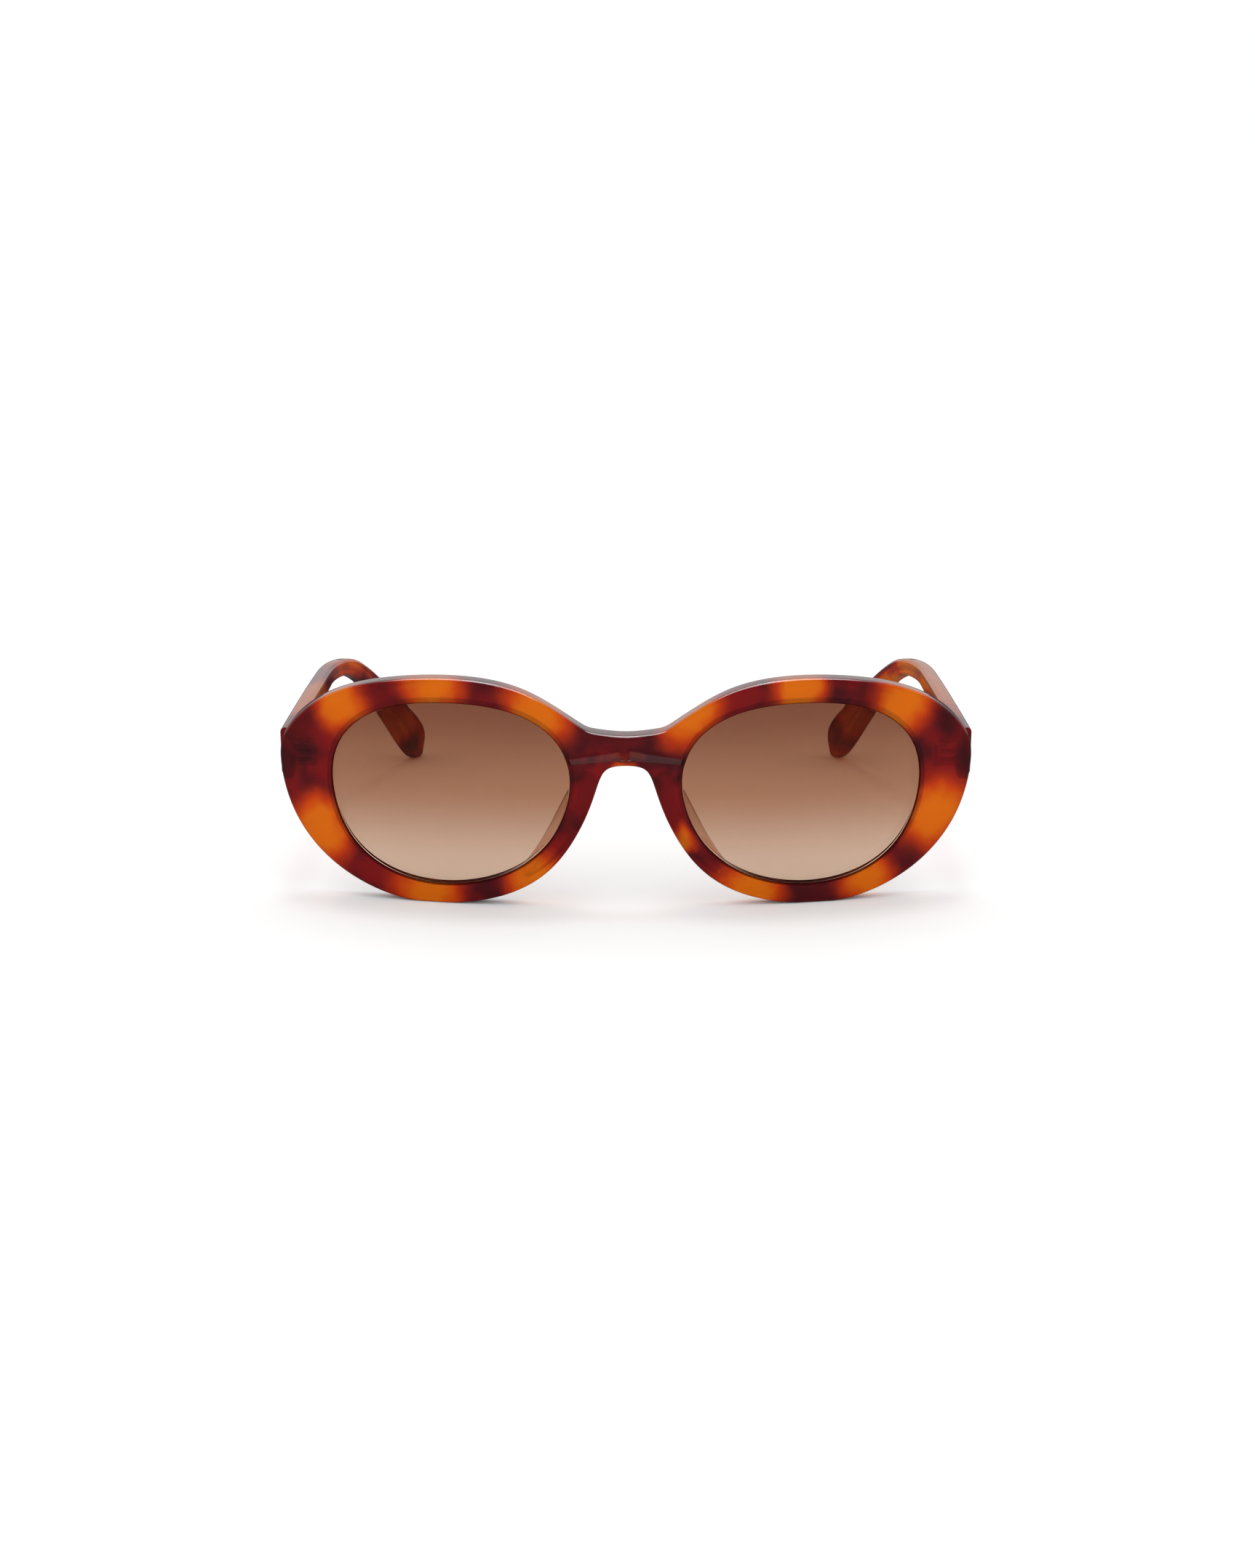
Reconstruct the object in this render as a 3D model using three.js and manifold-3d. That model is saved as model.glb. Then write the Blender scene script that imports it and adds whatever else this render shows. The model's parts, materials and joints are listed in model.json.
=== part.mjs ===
// Sunglasses: an acetate front with two lenses, and two acetate temples on sunk five-knuckle hinges.
// Millimetres. +X is the wearer's left, +Y runs from the front back to the ears, +Z is up.
// Every piece is drawn for the +X side, and the -X side is its mirror image.

import * as THREE from 'three';
import { mergeVertices } from 'three/addons/utils/BufferGeometryUtils.js';
import loadManifold from 'manifold-3d';

// Front: half of its outline, from the top of the bridge round the rim to the top of the nose arch,
// as the control points of a uniform cubic B-spline in x and z.
const OUTLINE = [
  [0, 37.2], [3, 37.4], [6.5, 37.9], [8, 38.3], [9.5, 39.2], [13, 41.7], [22, 47.4], [35.5, 49.2],
  [52, 47.7], [63.3, 43.9], [71.6, 36.3], [72.7, 29.5], [70.3, 17.5], [62, 6.9], [48.6, 0.3], [36, 0],
  [24, 2.2], [14.3, 8.4], [8.2, 19], [6, 26], [4.6, 30.3], [1.5, 30.9], [0, 30.9],
];
const OUTLINE_STEPS = 4;           // points for each stretch of the spline
const REST_HEIGHT = 0.45;          // the rims are flat where they stand, just above their lowest curve
const RIM_THICKNESS = 4.8;
const BRIDGE_EXTRA = 0.8;          // how much thicker the bridge is
const BRIDGE_REACH = 10;
const WRAP_RADIUS = 200;           // the front's bend round the face
const LEAN = Math.tan(THREE.MathUtils.degToRad(3));
const LEAN_HEIGHT = 30.5;
const FACE_BEVEL = 0.6;
const BACK_BEVEL = 0.4;

// Lens opening: an oval about its middle. Its radius is changed in small waves round the angle.
const LENS_MIDDLE = [36.5, 24.6];
const LENS_HALF = [25.1, 19.8];
const LENS_LEAN = -0.011;          // leans the oval, twice round
const LENS_DROP = 0.03;            // broadens the top and deepens the bottom, three times round
const LENS_REACH = -0.008;         // reaches towards the nose, three times round
const LENS_SQUARE = -0.018;        // fills the corners, four times round
const SKEW_AT_ARCH = THREE.MathUtils.degToRad(6);
const OPENING_BEVEL = 0.65;
const GROOVE_MIDDLE = 2.2;         // depth of the lens groove behind the face
const GROOVE_DEPTH = 1;
const LENS_THICKNESS = 1.8;
const LENS_GAP = 0.25;
const LENS_RINGS = [0.3, 0.65, 0.88];
const LENS_STEPS = 56;

// Hinge: knuckles stacked on an upright axis behind the front's outer corner.
const KNUCKLE_PITCH = 0.9;
const KNUCKLE_RADIUS = 1.4;
const RUNNING_GAP = 0.1;
const HINGE_HEIGHT = 30.5;
const HINGE_X = 66.6;
const HINGE_STANDOFF = 1.75;       // from the front's back face to the axis
const LEAF_INNER = 64;
const LEAF_OUTER = 68.6;
const LEAF_SPINE = 1.3;
const LEAF_SUNK = 2.1;
const PLATE_THICKNESS = 0.9;
const PLATE_LENGTH = 9;
const TONGUE_ROOT = 0.3;           // how far a temple tongue's root reaches ahead of the axis
const TONGUE_FLARE = 0.4;          // how far it spreads behind the knuckle
const SCREW_RADIUS = 0.65;
const SCREW_HEAD = [1.2, 0.6];     // radius and height
const POCKET_GAP = 0.1;
const KNUCKLE_STEPS = 6;           // points for each arc of a knuckle
const SCREW_SIDES = 20;

// Temple: its side view as pairs of points on the top and bottom edges, from butt to tip.
const TEMPLE_OUTER = 72.7;
const TEMPLE_THICKNESS = 3.6;
const TEMPLE_CORNER = 1;
const BUTT_GAP = 0.3;
const BEND_START = 80;             // where the temple starts to turn in towards the head
const BEND_BLEND = 24;
const BEND_SLOPE = 0.36;
const TEMPLE_EDGES = [
  [[17, 35.2], [17, 24.6]],
  [[26, 35.3], [26, 26.2]],
  [[40, 35.4], [40, 28.2]],
  [[60, 35.4], [60, 29.9]],
  [[80, 35.1], [79, 30.8]],
  [[93, 34.7], [91, 30.7]],
  [[101.5, 33.4], [98.5, 29.9]],
  [[107.5, 30.7], [104.6, 27.5]],
  [[113.5, 27], [110.3, 23.4]],
  [[121, 21.9], [116.4, 18.1]],
  [[129, 16.4], [122.8, 12]],
  [[135, 12.1], [128.8, 6]],
  [[138.4, 8.8], [134, 1.6]],
  [[139.6, 6.2], [137, 0.5]],
  [[139.8, 4], [138.6, 1.5]],
];
const TEMPLE_STEPS = 2;
const TIP_THINNING = [0.86, 0.55]; // thickness of the last two sections against the rest

// Core: a wire down the middle of the temple, in a channel that opens at the butt.
const CORE_RADIUS = 0.6;
const CORE_GAP = 0.3;
const CORE_INSET = 1.5;            // from the temple's outer face to the core's middle
const CORE_START = 20;
const CORE_PAIRS = [2, 12];        // the pairs of edge points that it runs between
const CORE_STEPS = 26;
const CORE_SIDES = 8;
const CHANNEL_LEAD = 2;            // how far the channel's cutter starts ahead of the front's back face

// Nose pads: fins glued behind the nose edge, flaring outwards as they run back.
const PAD_SPAN = [16.4, 19.5];     // stretch of the outline that a pad covers
const PAD_STATIONS = 10;
const PAD_DEPTH = 8;
const PAD_FLARE = 2.6;
const PAD_ROOT = [0.3, 3.4];       // distances from the nose edge
const PAD_TIP_WIDTH = 2;
const PAD_END = 0.22;              // how full the pad is at its ends, as a share of its middle
const PAD_ROUNDNESS = 0.7;
const PAD_TAPER = 0.25;            // how much of the root's width goes on each side towards an end
const PAD_GAP = 0.3;

const COLORS = {
  acetate: [0x6e2410, 0.18, 0],
  lens: [0x8a6248, 0.08, 0],
  steel: [0xb9b4ac, 0.32, 1],
};

const wasm = await loadManifold();
wasm.setup();

// ---- Curves ----

// The control points with one more at each end, mirrored from the other half of the front.
const mirrorPoint = ([x, z]) => [-x, z];
const CONTROLS = [mirrorPoint(OUTLINE[1]), ...OUTLINE, mirrorPoint(OUTLINE.at(-2))];
const OUTLINE_END = OUTLINE.length - 1;

function splinePoint(at) {
  const i = Math.min(Math.floor(at), OUTLINE_END - 1);
  const t = at - i;
  const weights = [(1 - t) ** 3, 3 * t ** 3 - 6 * t ** 2 + 4, -3 * t ** 3 + 3 * t ** 2 + 3 * t + 1, t ** 3];
  const blend = (axis) => weights.reduce((sum, weight, k) => sum + weight * CONTROLS[i + k][axis], 0) / 6;
  return [blend(0), blend(1)];
}

function outward(pointAt, at, step) {
  const [x0, z0] = pointAt(at - step);
  const [x1, z1] = pointAt(at + step);
  const length = Math.hypot(x1 - x0, z1 - z0);
  return [-(z1 - z0) / length, (x1 - x0) / length];
}

function outlinePoint(at, offset = 0) {
  const [x, z] = splinePoint(at);
  const step = 0.01;
  const inside = Math.min(Math.max(at, step), OUTLINE_END - step);
  const onMirror = at === 0 || at === OUTLINE_END;
  const [nx, nz] = onMirror ? [0, at === 0 ? 1 : -1] : outward(splinePoint, inside, step);
  return [x + nx * offset, Math.max(z + nz * offset, REST_HEIGHT - offset)];
}

function ovalPoint(angle) {
  const radius = 1 + LENS_LEAN * Math.sin(2 * angle) + LENS_DROP * Math.sin(3 * angle)
    + LENS_REACH * Math.cos(3 * angle) + LENS_SQUARE * Math.cos(4 * angle);
  return [
    LENS_MIDDLE[0] + LENS_HALF[0] * radius * Math.cos(angle),
    LENS_MIDDLE[1] + LENS_HALF[1] * radius * Math.sin(angle),
  ];
}

function openingPoint(angle, offset = 0) {
  const [x, z] = ovalPoint(angle);
  const [nx, nz] = outward(ovalPoint, angle, -0.01);
  return [x + nx * offset, z + nz * offset];
}

// Angle round the opening that faces a point of the outline, falling steadily along the outline.
function facingAngle(at) {
  const [x, z] = outlinePoint(at);
  let angle = Math.atan2((z - LENS_MIDDLE[1]) / LENS_HALF[1], (x - LENS_MIDDLE[0]) / LENS_HALF[0]);
  if (at > OUTLINE_END / 2 && angle > 0) angle -= 2 * Math.PI;
  return angle - SKEW_AT_ARCH * THREE.MathUtils.smoothstep(at, OUTLINE_END - 3, OUTLINE_END);
}

// ---- The front's curved face ----

function faceY(x, z) {
  return x * x / (2 * WRAP_RADIUS) - (z - LEAN_HEIGHT) * LEAN;
}

function thickness(x) {
  return RIM_THICKNESS + BRIDGE_EXTRA * Math.exp(-((x / BRIDGE_REACH) ** 2));
}

function onFront([x, z], depth) {
  return [x, faceY(x, z) + depth, z];
}

function backY(x, z) {
  return faceY(x, z) + thickness(x);
}

// ---- Meshes and solids ----

function geometryOf(vertices, triangles) {
  const geometry = new THREE.BufferGeometry();
  geometry.setAttribute('position', new THREE.Float32BufferAttribute(vertices.flat(), 3));
  geometry.setIndex(triangles.flat());
  return mergeVertices(geometry, 1e-4);
}

// Quads between neighbouring rings, closed by a fan at each end.
function skin(rings) {
  const count = rings[0].length;
  const vertices = rings.flat();
  const triangles = [];
  for (let r = 0; r + 1 < rings.length; r += 1) {
    for (let i = 0; i < count; i += 1) {
      const j = (i + 1) % count;
      const [a, b, c, d] = [r * count + i, r * count + j, (r + 1) * count + i, (r + 1) * count + j];
      triangles.push([a, b, d], [a, d, c]);
    }
  }
  addFan(vertices, triangles, rings[0], 0, true);
  addFan(vertices, triangles, rings.at(-1), (rings.length - 1) * count, false);
  return outwardFacing(geometryOf(vertices, triangles));
}

function addFan(vertices, triangles, ring, first, flipped) {
  const middle = [0, 1, 2].map((k) => ring.reduce((sum, point) => sum + point[k], 0) / ring.length);
  vertices.push(middle);
  const centre = vertices.length - 1;
  ring.forEach((_, i) => {
    const [a, b] = [first + i, first + ((i + 1) % ring.length)];
    triangles.push(flipped ? [centre, b, a] : [centre, a, b]);
  });
}

function signedVolume(geometry) {
  const position = geometry.getAttribute('position');
  const corner = (k) => new THREE.Vector3().fromBufferAttribute(position, geometry.index.getX(k));
  let volume = 0;
  for (let k = 0; k < geometry.index.count; k += 3) {
    volume += corner(k).dot(corner(k + 1).cross(corner(k + 2)));
  }
  return volume;
}

function flipFaces(geometry) {
  const index = geometry.index.array;
  for (let k = 0; k < index.length; k += 3) [index[k], index[k + 1]] = [index[k + 1], index[k]];
  return geometry;
}

function outwardFacing(geometry) {
  return signedVolume(geometry) < 0 ? flipFaces(geometry) : geometry;
}

function mirrored(geometry) {
  return flipFaces(geometry.clone().scale(-1, 1, 1));
}

function solidOf(geometry) {
  const bare = geometry.clone();
  bare.deleteAttribute('normal');
  bare.deleteAttribute('uv');
  const merged = mergeVertices(bare, 1e-4);
  return new wasm.Manifold(new wasm.Mesh({
    numProp: 3,
    vertProperties: new Float32Array(merged.getAttribute('position').array),
    triVerts: new Uint32Array(merged.index.array),
  }));
}

function geometryFromSolid(solid) {
  const mesh = solid.getMesh();
  const geometry = new THREE.BufferGeometry();
  geometry.setAttribute('position', new THREE.BufferAttribute(mesh.vertProperties, 3));
  geometry.setIndex(new THREE.BufferAttribute(mesh.triVerts, 1));
  return geometry;
}

// An outline in x and y, extruded upwards from a height.
function layer(shape, bottom, height) {
  const settings = { depth: height, bevelEnabled: false, curveSegments: KNUCKLE_STEPS };
  return solidOf(new THREE.ExtrudeGeometry(shape, settings).translate(0, 0, bottom));
}

// An upright cylinder on the hinge's axis.
function post(radius, bottom, height) {
  const geometry = new THREE.CylinderGeometry(radius, radius, height, SCREW_SIDES);
  geometry.rotateX(Math.PI / 2).translate(HINGE_X, HINGE_Y, bottom + height / 2);
  return solidOf(geometry);
}

// ---- Front ----

// Section of a rim as points [loop, offset, depth], from the lens groove over the face to the back.
function rimSection(x) {
  const back = thickness(x);
  return [
    ['opening', GROOVE_DEPTH, GROOVE_MIDDLE],
    ['opening', 0, GROOVE_MIDDLE - GROOVE_DEPTH],
    ['opening', 0, OPENING_BEVEL],
    ['opening', OPENING_BEVEL, 0],
    ['outline', -FACE_BEVEL, 0],
    ['outline', 0, FACE_BEVEL],
    ['outline', 0, back - BACK_BEVEL],
    ['outline', -BACK_BEVEL, back],
    ['opening', BACK_BEVEL, back],
    ['opening', 0, GROOVE_MIDDLE + GROOVE_DEPTH],
  ];
}

function rimRing(at) {
  const angle = facingAngle(at);
  return rimSection(outlinePoint(at)[0]).map(([loop, offset, depth]) => (
    onFront(loop === 'opening' ? openingPoint(angle, offset) : outlinePoint(at, offset), depth)
  ));
}

// One rim up to the middle of the bridge. The bridge's cut stays open, to meet the other rim's.
function halfFront() {
  const steps = OUTLINE_END * OUTLINE_STEPS;
  const rings = Array.from({ length: steps + 1 }, (_, i) => rimRing(i / OUTLINE_STEPS));
  const count = rings[0].length;
  const outerWall = [4, 5, 6];
  const triangles = [];
  for (let r = 0; r <= steps; r += 1) {
    const next = (r + 1) % (steps + 1);
    for (let i = 0; i < count; i += 1) {
      if (r === steps && outerWall.includes(i)) continue;
      const j = (i + 1) % count;
      const [a, b, c, d] = [r * count + i, r * count + j, next * count + i, next * count + j];
      triangles.push([a, b, d], [a, d, c]);
    }
  }
  return geometryOf(rings.flat(), triangles);
}

function buildFront() {
  const half = halfFront();
  const other = mirrored(half);
  const vertices = [half, other].flatMap((geometry) => (
    Array.from({ length: geometry.getAttribute('position').count }, (_, i) => (
      new THREE.Vector3().fromBufferAttribute(geometry.getAttribute('position'), i).toArray()
    ))
  ));
  const shift = half.getAttribute('position').count;
  const triangles = [...half.index.array, ...Array.from(other.index.array, (i) => i + shift)];
  const whole = outwardFacing(geometryOf(vertices, triangles));
  const pocket = frontLeaf(POCKET_GAP, false);
  return geometryFromSolid(solidOf(whole).subtract(pocket).subtract(pocket.mirror([1, 0, 0])));
}

// ---- Lenses ----

function buildLens() {
  const ring = (scale, offset, depth) => Array.from({ length: LENS_STEPS }, (_, i) => {
    const [x, z] = openingPoint(2 * Math.PI * i / LENS_STEPS, offset);
    const point = [x, z].map((value, k) => LENS_MIDDLE[k] + (value - LENS_MIDDLE[k]) * scale);
    return onFront(point, depth);
  });
  const half = LENS_THICKNESS / 2;
  const edge = GROOVE_DEPTH - half - LENS_GAP;
  const side = (sign) => [
    ...LENS_RINGS.map((scale) => ring(scale, edge, GROOVE_MIDDLE + sign * half)),
    ring(1, edge, GROOVE_MIDDLE + sign * half),
  ];
  const bevelTip = ring(1, GROOVE_DEPTH - LENS_GAP, GROOVE_MIDDLE);
  return skin([...side(-1), bevelTip, ...side(1).reverse()]);
}

// ---- Nose pads ----

// Section of a pad at a place on the outline: [distance from the nose edge, distance behind the front].
function padSection(fullness) {
  const reach = PAD_DEPTH * fullness;
  const flare = PAD_FLARE * fullness;
  const [inner, outer] = PAD_ROOT;
  const taper = (1 - fullness) * (outer - inner) * PAD_TAPER;
  const root = inner + taper;
  const far = outer - taper;
  return [
    [root, PAD_GAP],
    [root + flare * 0.25, PAD_GAP + reach * 0.5],
    [root + flare * 0.8, PAD_GAP + reach * 0.9],
    [root + flare + PAD_TIP_WIDTH * 0.5 * fullness, PAD_GAP + reach],
    [root + flare + PAD_TIP_WIDTH * fullness, PAD_GAP + reach * 0.88],
    [far + flare * 0.75, PAD_GAP + reach * 0.5],
    [far, PAD_GAP],
  ];
}

function buildPad() {
  const [from, to] = PAD_SPAN;
  const rings = Array.from({ length: PAD_STATIONS + 1 }, (_, i) => {
    const along = i / PAD_STATIONS;
    const fullness = Math.max(PAD_END, Math.sin(Math.PI * along) ** PAD_ROUNDNESS);
    const at = from + (to - from) * along;
    return padSection(fullness).map(([distance, behind]) => {
      const [x, z] = outlinePoint(at, -distance);
      return [x, backY(x, z) + behind, z];
    });
  });
  return skin(rings);
}

// ---- Hinges ----

const HINGE_Y = backY(HINGE_X, HINGE_HEIGHT) + HINGE_STANDOFF;
const KNUCKLES = [-2, -1, 0, 1, 2];
const STACK_HEIGHT = KNUCKLES.length * KNUCKLE_PITCH;
const STACK_BOTTOM = HINGE_HEIGHT - STACK_HEIGHT / 2;
const STACK_TOP = HINGE_HEIGHT + STACK_HEIGHT / 2;
const TEMPLE_INNER = TEMPLE_OUTER - TEMPLE_THICKNESS;

const knuckleBottom = (k) => HINGE_HEIGHT + (k - 0.5) * KNUCKLE_PITCH;

function screwHole() {
  return post(SCREW_RADIUS + RUNNING_GAP, STACK_BOTTOM - KNUCKLE_PITCH, STACK_HEIGHT + 2 * KNUCKLE_PITCH);
}

// The sunk base seen from above, following the front's back face, and the tongue that rises from it.
function tongueShape(grow) {
  const shape = new THREE.Shape();
  const front = backY(LEAF_INNER, HINGE_HEIGHT) - LEAF_SUNK - grow;
  const flush = (x) => backY(x, HINGE_HEIGHT) - POCKET_GAP;
  shape.moveTo(LEAF_INNER - grow, front);
  shape.lineTo(LEAF_OUTER + grow, front);
  shape.lineTo(LEAF_OUTER + grow, flush(LEAF_OUTER + grow));
  shape.lineTo(HINGE_X + KNUCKLE_RADIUS, flush(HINGE_X + KNUCKLE_RADIUS));
  shape.lineTo(HINGE_X + KNUCKLE_RADIUS, HINGE_Y);
  shape.absarc(HINGE_X, HINGE_Y, KNUCKLE_RADIUS, 0, Math.PI, false);
  shape.lineTo(HINGE_X - KNUCKLE_RADIUS, flush(HINGE_X - KNUCKLE_RADIUS));
  shape.lineTo(LEAF_INNER - grow, flush(LEAF_INNER - grow));
  return shape;
}

// The same base without the tongue, cut off past the back face, for the pocket.
function blockShape(right, grow, deep) {
  const shape = new THREE.Shape();
  const front = backY(LEAF_INNER, HINGE_HEIGHT) - LEAF_SUNK - grow;
  const rear = (x) => (deep ? HINGE_Y : backY(x, HINGE_HEIGHT) - POCKET_GAP);
  shape.moveTo(LEAF_INNER - grow, front);
  shape.lineTo(right + grow, front);
  shape.lineTo(right + grow, rear(right + grow));
  shape.lineTo(LEAF_INNER - grow, rear(LEAF_INNER - grow));
  return shape;
}

// An E seen from in front: three tongues on a spine. The pocket is the same E, slightly grown.
function frontLeaf(grow, knuckled) {
  const spine = blockShape(LEAF_INNER + LEAF_SPINE, grow, !knuckled);
  let solid = layer(spine, STACK_BOTTOM - grow, STACK_HEIGHT + 2 * grow);
  KNUCKLES.filter((k) => k % 2 === 0).forEach((k) => {
    const shape = knuckled ? tongueShape(grow) : blockShape(LEAF_OUTER, grow, true);
    solid = solid.add(layer(shape, knuckleBottom(k) - grow, KNUCKLE_PITCH + 2 * grow));
  });
  return solid;
}

function buildFrontLeaf() {
  return geometryFromSolid(frontLeaf(0, true).subtract(screwHole()));
}

function plateShape(grow) {
  const shape = new THREE.Shape();
  const start = HINGE_Y - TONGUE_ROOT;
  shape.moveTo(TEMPLE_INNER - grow, start - grow);
  shape.lineTo(TEMPLE_INNER + PLATE_THICKNESS + grow, start - grow);
  shape.lineTo(TEMPLE_INNER + PLATE_THICKNESS + grow, start + PLATE_LENGTH + grow);
  shape.lineTo(TEMPLE_INNER - grow, start + PLATE_LENGTH + grow);
  return shape;
}

function templeTongueShape() {
  const shape = new THREE.Shape();
  const root = TEMPLE_INNER + PLATE_THICKNESS / 2;
  const tangent = Math.atan(HINGE_X / WRAP_RADIUS) - Math.PI / 2;
  shape.moveTo(root, HINGE_Y + KNUCKLE_RADIUS + TONGUE_FLARE);
  shape.lineTo(HINGE_X, HINGE_Y + KNUCKLE_RADIUS);
  shape.absarc(HINGE_X, HINGE_Y, KNUCKLE_RADIUS, Math.PI / 2, 2 * Math.PI + tangent, false);
  shape.lineTo(TEMPLE_INNER, HINGE_Y - TONGUE_ROOT);
  shape.lineTo(root, HINGE_Y - TONGUE_ROOT);
  return shape;
}

function buildTempleLeaf() {
  let solid = layer(plateShape(0), STACK_BOTTOM, STACK_HEIGHT);
  KNUCKLES.filter((k) => k % 2 !== 0).forEach((k) => {
    const bottom = knuckleBottom(k) + RUNNING_GAP;
    solid = solid.add(layer(templeTongueShape(), bottom, KNUCKLE_PITCH - 2 * RUNNING_GAP));
  });
  return geometryFromSolid(solid.subtract(screwHole()));
}

function buildScrew() {
  const [headRadius, headHeight] = SCREW_HEAD;
  const shank = post(SCREW_RADIUS, STACK_BOTTOM, STACK_HEIGHT + RUNNING_GAP + headHeight / 2);
  return geometryFromSolid(shank.add(post(headRadius, STACK_TOP + RUNNING_GAP, headHeight)));
}

// ---- Temples ----

function turnedIn(y) {
  const past = y - BEND_START;
  if (past <= 0) return 0;
  if (past < BEND_BLEND) return BEND_SLOPE * past * past / (2 * BEND_BLEND);
  return BEND_SLOPE * (past - BEND_BLEND / 2);
}

// Section of a temple between a top and a bottom point, with three points for each round corner.
function templeRing(top, bottom, thick, first) {
  const height = Math.hypot(top[0] - bottom[0], top[1] - bottom[1]);
  const corner = Math.min(TEMPLE_CORNER, thick / 2.2, height / 2.2);
  const near = corner * (1 - Math.SQRT1_2);
  const cuts = [[0, corner], [near, near], [corner, 0]];
  const quarter = (left, low) => cuts.map(([a, b]) => [left ? a : thick - a, low ? b : height - b]);
  const around = [
    ...quarter(true, true),
    ...quarter(false, true).reverse(),
    ...quarter(false, false),
    ...quarter(true, false).reverse(),
  ];
  return around.map(([across, up]) => {
    const y = bottom[0] + (top[0] - bottom[0]) * up / height;
    const z = bottom[1] + (top[1] - bottom[1]) * up / height;
    const x = TEMPLE_OUTER - TEMPLE_THICKNESS / 2 + (thick / 2 - across) - turnedIn(y);
    return [x, first ? backY(x, z) + BUTT_GAP : y, z];
  });
}

function edgeAt(at, edge) {
  const curve = new THREE.CatmullRomCurve3(TEMPLE_EDGES.map((pair) => new THREE.Vector3(0, ...pair[edge])));
  const point = curve.getPoint(at / (TEMPLE_EDGES.length - 1));
  return [point.y, point.z];
}

function buildTempleBlank() {
  const last = TEMPLE_EDGES.length - 1;
  const rings = Array.from({ length: last * TEMPLE_STEPS + 1 }, (_, i) => {
    const at = i / TEMPLE_STEPS;
    const left = last * TEMPLE_STEPS - i;
    const thin = left < TIP_THINNING.length ? TIP_THINNING[TIP_THINNING.length - 1 - left] : 1;
    return templeRing(edgeAt(at, 0), edgeAt(at, 1), TEMPLE_THICKNESS * thin, i === 0);
  });
  return skin(rings);
}

function corePath(start) {
  const middles = TEMPLE_EDGES.slice(...CORE_PAIRS).map(([top, bottom]) => {
    const y = (top[0] + bottom[0]) / 2;
    const x = TEMPLE_OUTER - CORE_INSET - turnedIn(y);
    return new THREE.Vector3(x, y, (top[1] + bottom[1]) / 2);
  });
  const first = new THREE.Vector3(TEMPLE_OUTER - CORE_INSET, start, HINGE_HEIGHT);
  return new THREE.CatmullRomCurve3([first, ...middles]);
}

// A round rod along a path, run on by a stretch at its far end.
function rod(path, radius, stretch) {
  const rings = Array.from({ length: CORE_STEPS + 1 }, (_, i) => {
    const at = i / CORE_STEPS;
    const along = path.getTangentAt(at);
    const middle = path.getPointAt(at).addScaledVector(along, i === CORE_STEPS ? stretch : 0);
    const across = new THREE.Vector3(1, 0, 0).addScaledVector(along, -along.x).normalize();
    const up = new THREE.Vector3().crossVectors(across, along);
    return Array.from({ length: CORE_SIDES }, (_unused, k) => {
      const turn = 2 * Math.PI * k / CORE_SIDES;
      return middle.clone()
        .addScaledVector(across, radius * Math.cos(turn))
        .addScaledVector(up, radius * Math.sin(turn)).toArray();
    });
  });
  return skin(rings);
}

function buildCore() {
  return rod(corePath(CORE_START), CORE_RADIUS, 0);
}

function buildTemple() {
  const channelStart = backY(TEMPLE_OUTER - CORE_INSET, HINGE_HEIGHT) - CHANNEL_LEAD;
  const channel = solidOf(rod(corePath(channelStart), CORE_RADIUS + CORE_GAP, CORE_GAP));
  const pocket = layer(plateShape(POCKET_GAP), STACK_BOTTOM - POCKET_GAP, STACK_HEIGHT + 2 * POCKET_GAP);
  return geometryFromSolid(solidOf(buildTempleBlank()).subtract(channel).subtract(pocket));
}

// ---- Assembly ----

function addMesh(group, name, geometry, [color, roughness, metalness]) {
  const material = new THREE.MeshStandardMaterial({ color, roughness, metalness });
  const mesh = new THREE.Mesh(geometry, material);
  mesh.name = name;
  group.add(mesh);
}

function addPair(group, name, geometry, finish) {
  addMesh(group, `${name}_left`, geometry, finish);
  addMesh(group, `${name}_right`, mirrored(geometry), finish);
}

const sunglasses = new THREE.Group();
addMesh(sunglasses, 'front', buildFront(), COLORS.acetate);
addPair(sunglasses, 'lens', buildLens(), COLORS.lens);
addPair(sunglasses, 'nose_pad', buildPad(), COLORS.acetate);
addPair(sunglasses, 'front_hinge', buildFrontLeaf(), COLORS.steel);
addPair(sunglasses, 'temple_hinge', buildTempleLeaf(), COLORS.steel);
addPair(sunglasses, 'hinge_screw', buildScrew(), COLORS.steel);
addPair(sunglasses, 'temple', buildTemple(), COLORS.acetate);
addPair(sunglasses, 'temple_core', buildCore(), COLORS.steel);

// The origin is the middle of the footprint.
const bounds = new THREE.Box3().setFromObject(sunglasses);
sunglasses.position.set(0, -(bounds.min.y + bounds.max.y) / 2, -bounds.min.z);

export default sunglasses;
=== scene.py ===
import json
import math

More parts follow.
